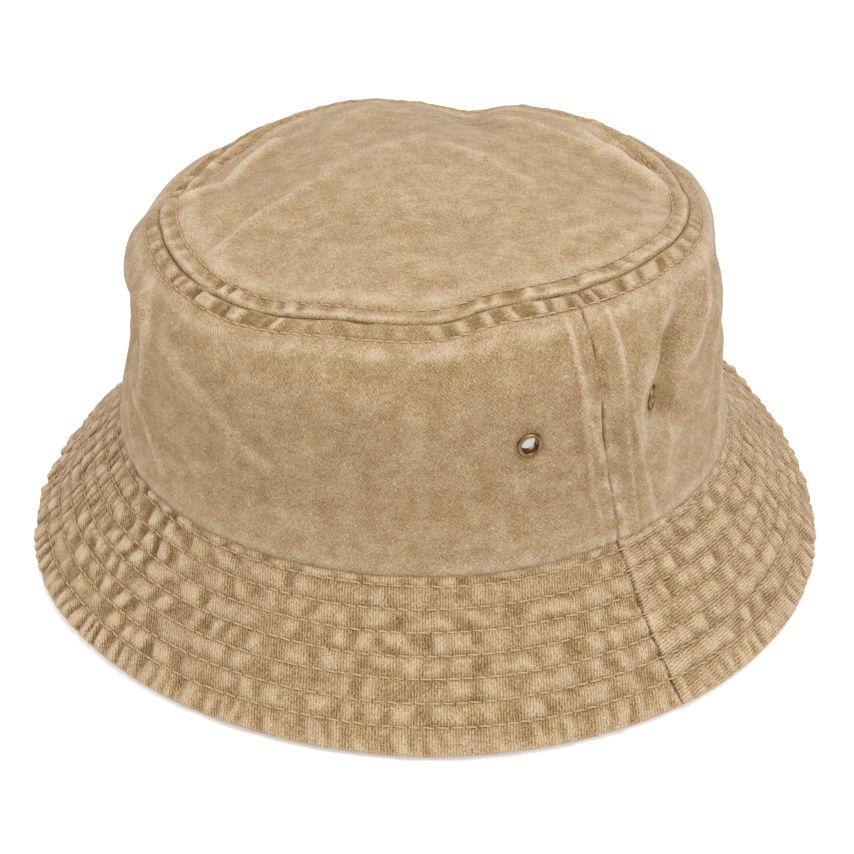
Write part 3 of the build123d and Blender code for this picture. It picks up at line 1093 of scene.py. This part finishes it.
def twill_cloth(
    name, dark, middle, light, wear_and_light_share, twill_angle, yarn_angle,
    rib=0.12, pitch=0.8, heather=1.5, mottled=0.85,
):
    """Washed cotton twill: diagonal ribs, heathered yarns, soft blotches, and the tone from the wear
    attribute: worn high spots, with painted light and shade on some pieces.

    The colours are 0-255 display values and pitch is the distance between ribs in millimetres.
    wear_and_light_share, rib, heather and mottled say how strongly each of those changes the tone.
    """
    material, tree, shader = new_material(name)
    flat = cloth_attribute(tree, "flat", "Vector")
    wear_and_painted_light = cloth_attribute(tree, "wear_and_painted_light", "Fac")

    # Ribs, broken up a little
    across_ribs = node(tree, "ShaderNodeSeparateXYZ", {"Vector": turned(tree, flat, twill_angle)})
    shifted = summed(tree, (across_ribs.outputs["X"], 1), (noise_texture(tree, flat, 0.35, 2.0), 0.8))
    phase = maths(tree, "MULTIPLY", shifted, TAU / pitch)
    wave = maths(tree, "MULTIPLY_ADD", maths(tree, "SINE", phase), 0.5, 0.5)

    # Yarns: long thin flecks along them, short ones across them, grain and a few thick places
    laid = turned(tree, flat, yarn_angle)
    long_yarn = stretched(tree, laid, 3.0, 0.9)
    long_fleck = noise_texture(tree, long_yarn, 1.0, 3.0, 0.7)
    cross_fleck = noise_texture(tree, stretched(tree, laid, 1.1, 2.6), 1.0, 3.0, 0.7)
    grain = noise_texture(tree, flat, 2.6, 2.0, 0.8)
    slub = maths(tree, "SUBTRACT", noise_texture(tree, long_yarn, 0.62, 1.0), 0.66, clamp=True)
    yarn = summed(tree, (long_fleck, 0.4), (cross_fleck, 0.3), (grain, 0.3), (slub, 0.9))
    yarn = centred(tree, yarn, 2.2 * heather)

    # Tone, from 0 at the dark end to 1 at the light one
    blotch = centred(tree, noise_texture(tree, flat, 0.055, 3.0, 0.6), 0.2)
    mottle = centred(tree, noise_texture(tree, flat, 0.17, 4.0, 0.78), mottled)
    # The wear attribute moves the tone: pale where rubbed and darker in low spots, plus the painted
    # light and shade that some pieces carry in it
    rubbed_and_lit = centred(tree, wear_and_painted_light, wear_and_light_share)
    tone = summed(tree, (yarn, 1), (centred(tree, wave, rib), 1), (blotch, 1), (mottle, 1), (rubbed_and_lit, 1))
    tone = maths(tree, "ADD", tone, 0.5, clamp=True)
    ramp = node(tree, "ShaderNodeValToRGB", {"Fac": tone})
    stops = ramp.color_ramp.elements
    stops[0].color = (*srgb(*dark), 1)
    stops[1].color = (*srgb(*light), 1)
    stops.new(0.5).color = (*srgb(*middle), 1)
    inputs = {
        "Base Color": ramp.outputs["Color"],
        "Roughness": maths(tree, "MULTIPLY_ADD", yarn, -0.1, 0.9),
        "Sheen Weight": 0.12,
        "Sheen Roughness": 0.6,
        "Specular IOR Level": 0.25,
        "Normal": bumped(tree, summed(tree, (wave, 0.09), (yarn, 0.1)), 0.45, 0.001),
    }
    fill(tree, shader, inputs)
    return material


def thread_material():
    """Spun thread: fine twist and a slight sheen."""
    material, tree, shader = new_material("thread")
    place = object_place(tree)
    strand = noise_texture(tree, place, 2600.0, 2.0)
    tone = summed(tree, (strand, 0.5), (noise_texture(tree, place, 90.0, 2.0), 0.5))
    inputs = {
        "Base Color": mix_colour(tree, tone, srgb(176, 138, 95), srgb(221, 188, 148)),
        "Roughness": maths(tree, "MULTIPLY_ADD", strand, 0.2, 0.55),
        "Sheen Weight": 0.2,
        "Normal": bumped(tree, strand, 0.4, 0.0001),
    }
    fill(tree, shader, inputs)
    return material


def brass_material():
    """Antique brass: darkened in patches, with brighter rubbed spots and fine scratches."""
    material, tree, shader = new_material("antique_brass")
    place = object_place(tree)
    patch = noise_texture(tree, place, 420.0, 4.0)
    inputs = {
        "Base Color": mix_colour(tree, patch, srgb(86, 64, 37), srgb(178, 145, 96)),
        "Metallic": 1.0,
        "Roughness": maths(tree, "MULTIPLY_ADD", patch, 0.3, 0.2),
        "Normal": bumped(tree, noise_texture(tree, place, 2400.0, 3.0), 0.15, 0.0001),
    }
    fill(tree, shader, inputs)
    return material


def floor_material():
    """A pale floor with a glow of its own, which makes it as white as the background."""
    material, tree, shader = new_material("pale_floor")
    cloud = noise_texture(tree, object_place(tree), 3.0, 2.0)
    inputs = {
        "Base Color": mix_colour(tree, cloud, (0.84, 0.84, 0.84), (0.88, 0.88, 0.88)),
        "Roughness": 0.9,
        "Emission Color": (1, 1, 1, 1),
        "Emission Strength": 0.32,
    }
    fill(tree, shader, inputs)
    return material


# ---- build


def dress(obj, material):
    """Give a piece its material, and tell the frame what it rides on."""
    obj.data.materials.append(material)
    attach(obj, "root")


crown_cloth = twill_cloth(
    "crown_cloth", (112, 80, 42), (168, 138, 95), (206, 185, 161),
    0.6, 42, 4, rib=0.14, mottled=0.95,
)
brim_cloth = twill_cloth(
    "brim_cloth", (100, 68, 32), (169, 138, 94), (210, 187, 159),
    0.8, 39, 39, rib=0.35, pitch=0.86, heather=1.9, mottled=0.4,
)
lining_cloth = twill_cloth(
    "lining_cloth", (92, 66, 36), (146, 117, 78), (196, 170, 130),
    0.6, 39, 39, rib=0.36, pitch=0.86, heather=1.9, mottled=0.35,
)
band_cloth = twill_cloth("band_cloth", (100, 74, 42), (142, 114, 76), (184, 157, 116), 0.3, 30, 0)
tape_cloth = twill_cloth("tape_cloth", (108, 80, 46), (148, 120, 80), (190, 163, 122), 0.3, 60, 0)
thread = thread_material()
brass = brass_material()

for half in HALVES:
    dress(make_side_panel(half), crown_cloth)
    dress(make_brim_upper(half), brim_cloth)
    dress(make_brim_under(half), lining_cloth)
dress(make_top(), crown_cloth)
dress(make_sweatband(), band_cloth)
dress(make_tape(), tape_cloth)
for piece in make_stitches():
    dress(piece, thread)
for piece in make_eyelets():
    dress(piece, brass)

# ---- floor, light and camera

FLOOR_SIZE = 20.0
FLOOR_GAP = 0.0008  # the floor is this far below the CAD's lowest point
bpy.ops.mesh.primitive_plane_add(size=FLOOR_SIZE, location=(0, 0, cad_box[0].z - FLOOR_GAP))
floor = bpy.context.object
floor.name = "floor"
floor.data.materials.append(floor_material())

world = bpy.data.worlds.new("studio")
bpy.context.scene.world = world
world.use_nodes = True
background = world.node_tree.nodes["Background"]
fill(world.node_tree, background, {"Color": (1, 1, 1, 1), "Strength": 0.45})


def aimed(name, data, azimuth, elevation, distance, target=(0, 0, 0)):
    """An object in a direction from a target, at a distance in metres, that faces the target."""
    azimuth, elevation = math.radians(azimuth), math.radians(elevation)
    level = math.cos(elevation)
    way = Vector((math.sin(azimuth) * level, -math.cos(azimuth) * level, math.sin(elevation)))
    obj = linked(name, data)
    obj.location = Vector(target) + way * distance
    obj.rotation_euler = (-way).to_track_quat("-Z", "Y").to_euler()
    return obj


# Square soft boxes: azimuth from the camera's, elevation, size, power and colour
LIGHT_DISTANCE = 1.6
for name, swing, elevation, size, power, colour in (
    ("top", 40, 78, 1.1, 13.3, (0.95, 0.97, 1.0)),
    ("key", 48, 42, 0.7, 6.3, (0.93, 0.95, 1.0)),
    ("fill", -70, 46, 0.6, 4.8, (1.0, 0.96, 0.84)),
):
    box = bpy.data.lights.new(name, "AREA")
    box.shape = "SQUARE"
    box.size = size
    box.energy = power
    box.color = colour
    aimed(name, box, CAMERA_AZIMUTH + swing, elevation, LIGHT_DISTANCE)

# A faint light inside the crown, seen through the eyelets
glow = bpy.data.lights.new("inside", "POINT")
glow.energy = 0.1
glow.color = (0.72, 0.84, 1.0)
glow.shadow_soft_size = 0.02
linked("inside", glow).location = (0, 0, 0.07)

lens = bpy.data.cameras.new("camera")
lens.lens = CAMERA_LENS
lens.sensor_width = 36.0
lens.shift_x = 0.0035
lens.shift_y = -0.0293
lens.clip_start = 0.01
target = (0, 0, JOIN_HEIGHT * MM)
camera = aimed("camera", lens, CAMERA_AZIMUTH, CAMERA_ELEVATION, CAMERA_DISTANCE * MM, target)
bpy.context.scene.camera = camera
bpy.context.scene.view_settings.view_transform = "Standard"
